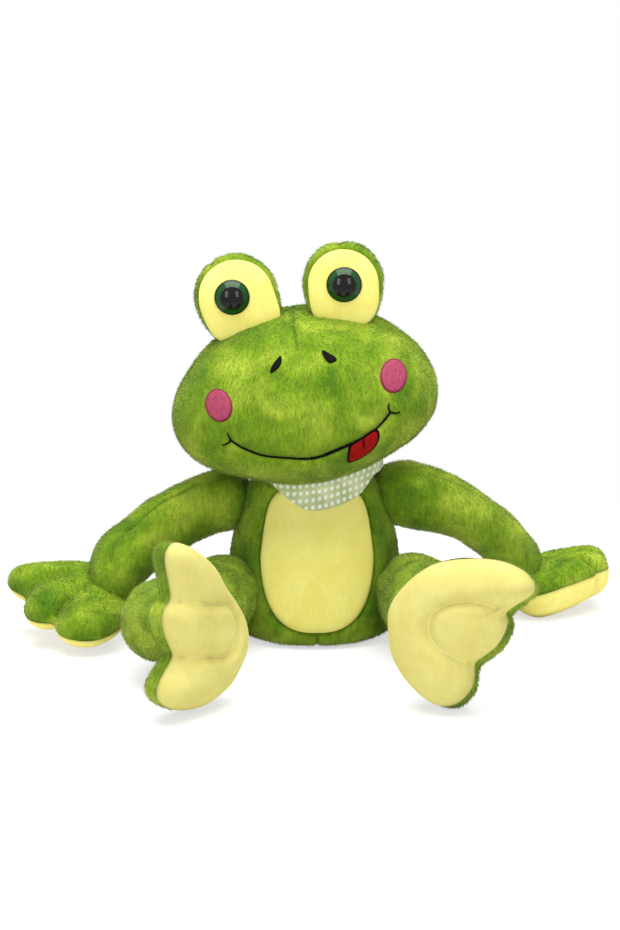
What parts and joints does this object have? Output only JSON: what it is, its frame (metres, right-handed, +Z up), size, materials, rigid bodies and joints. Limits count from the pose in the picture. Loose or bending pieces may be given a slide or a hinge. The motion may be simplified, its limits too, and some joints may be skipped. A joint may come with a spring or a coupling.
{
  "type": "plush frog",
  "caption": "Seated green plush frog with yellow belly and soles, stalk eyes, stitched smile, pink cheeks and a dotted neckerchief.",
  "frame": {"origin": "centre of the bounding box on the floor that the frog sits on; the seat lies 69 mm behind it", "axes": "+Z up, -Y the way the frog faces, +X towards its own left hand"},
  "size_m": [0.4008, 0.2905, 0.257],
  "materials": {
    "green_plush": "short pile plush, brushed both ways",
    "yellow_plush": "short pile plush",
    "polyester_fill": "loose fibre",
    "pellet_cloth": "plain woven",
    "eye_plastic": "gloss",
    "washer_plastic": "matt",
    "black_thread": "satin stitch",
    "pink_thread": "satin stitch",
    "red_thread": "satin stitch",
    "sage_cotton": "woven cotton with pale dots"
  },
  "bodies": {
    "torso": {"torso_skin": "green_plush", "torso_stuffing": "polyester_fill", "belly_panel": "yellow_plush", "pellet_bag": "pellet_cloth", "neckerchief": "sage_cotton"},
    "neck": {"neck": "green_plush"},
    "head": {"head_skin": "green_plush", "head_stuffing": "polyester_fill", "eye_stalk_back_right": "green_plush", "eye_stalk_front_right": "yellow_plush", "eye_stalk_stuffing_right": "polyester_fill", "safety_eye_right": "eye_plastic", "eye_washer_right": "washer_plastic", "cheek_right": "pink_thread", "nostril_right": "black_thread", "eye_stalk_back_left": "green_plush", "eye_stalk_front_left": "yellow_plush", "eye_stalk_stuffing_left": "polyester_fill", "safety_eye_left": "eye_plastic", "eye_washer_left": "washer_plastic", "cheek_left": "pink_thread", "nostril_left": "black_thread", "mouth": "black_thread", "tongue": "red_thread"},
    "arm_right": {"arm_skin_right": "green_plush", "arm_stuffing_right": "polyester_fill"},
    "hand_right": {"hand_back_right": "green_plush", "hand_palm_right": "yellow_plush", "hand_stuffing_right": "polyester_fill"},
    "leg_right": {"leg_skin_right": "green_plush", "leg_stuffing_right": "polyester_fill"},
    "foot_right": {"foot_upper_right": "green_plush", "foot_sole_right": "yellow_plush", "foot_stuffing_right": "polyester_fill"},
    "arm_left": {"arm_skin_left": "green_plush", "arm_stuffing_left": "polyester_fill"},
    "hand_left": {"hand_back_left": "green_plush", "hand_palm_left": "yellow_plush", "hand_stuffing_left": "polyester_fill"},
    "leg_left": {"leg_skin_left": "green_plush", "leg_stuffing_left": "polyester_fill"},
    "foot_left": {"foot_upper_left": "green_plush", "foot_sole_left": "yellow_plush", "foot_stuffing_left": "polyester_fill"}
  },
  "joints": [
    {"name": "neck_turn", "type": "hinge", "parent": "torso", "child": "neck", "pos_m": [-0.0037, 0.0597, 0.101], "axis": [0, 0, 1], "range_deg": [-60, 60]},
    {"name": "head_nod", "type": "hinge", "parent": "neck", "child": "head", "pos_m": [-0.0037, 0.0597, 0.12], "axis": [1, 0, 0], "range_deg": [-18, 8]},
    {"name": "shoulder_right", "type": "hinge", "parent": "torso", "child": "arm_right", "pos_m": [-0.0617, 0.0687, 0.086], "axis": [0, 0.8192, 0.5735], "range_deg": [-30, 50]},
    {"name": "shoulder_left", "type": "hinge", "parent": "torso", "child": "arm_left", "pos_m": [0.0588, 0.0687, 0.089], "axis": [0, -0.8192, -0.5735], "range_deg": [-30, 50]},
    {"name": "wrist_right", "type": "hinge", "parent": "arm_right", "child": "hand_right", "pos_m": [-0.1317, 0.0387, 0.043], "axis": [-0.2425, 0.9701, 0], "range_deg": [-35, 30]},
    {"name": "wrist_left", "type": "hinge", "parent": "arm_left", "child": "hand_left", "pos_m": [0.1373, 0.0867, 0.043], "axis": [-0.4679, -0.8838, 0], "range_deg": [-35, 30]},
    {"name": "hip_right", "type": "hinge", "parent": "torso", "child": "leg_right", "pos_m": [-0.0547, 0.0287, 0.032], "axis": [-0.8779, 0.4789, 0], "range_deg": [-45, 40]},
    {"name": "hip_left", "type": "hinge", "parent": "torso", "child": "leg_left", "pos_m": [0.0513, 0.0287, 0.032], "axis": [-0.8779, -0.4789, 0], "range_deg": [-45, 40]},
    {"name": "ankle_right", "type": "hinge", "parent": "leg_right", "child": "foot_right", "pos_m": [-0.083, -0.0821, 0.045], "axis": [0, 0, 1], "range_deg": [-20, 20]},
    {"name": "ankle_left", "type": "hinge", "parent": "leg_left", "child": "foot_left", "pos_m": [0.0763, -0.0839, 0.053], "axis": [0, 0, -1], "range_deg": [-20, 20]}
  ]
}
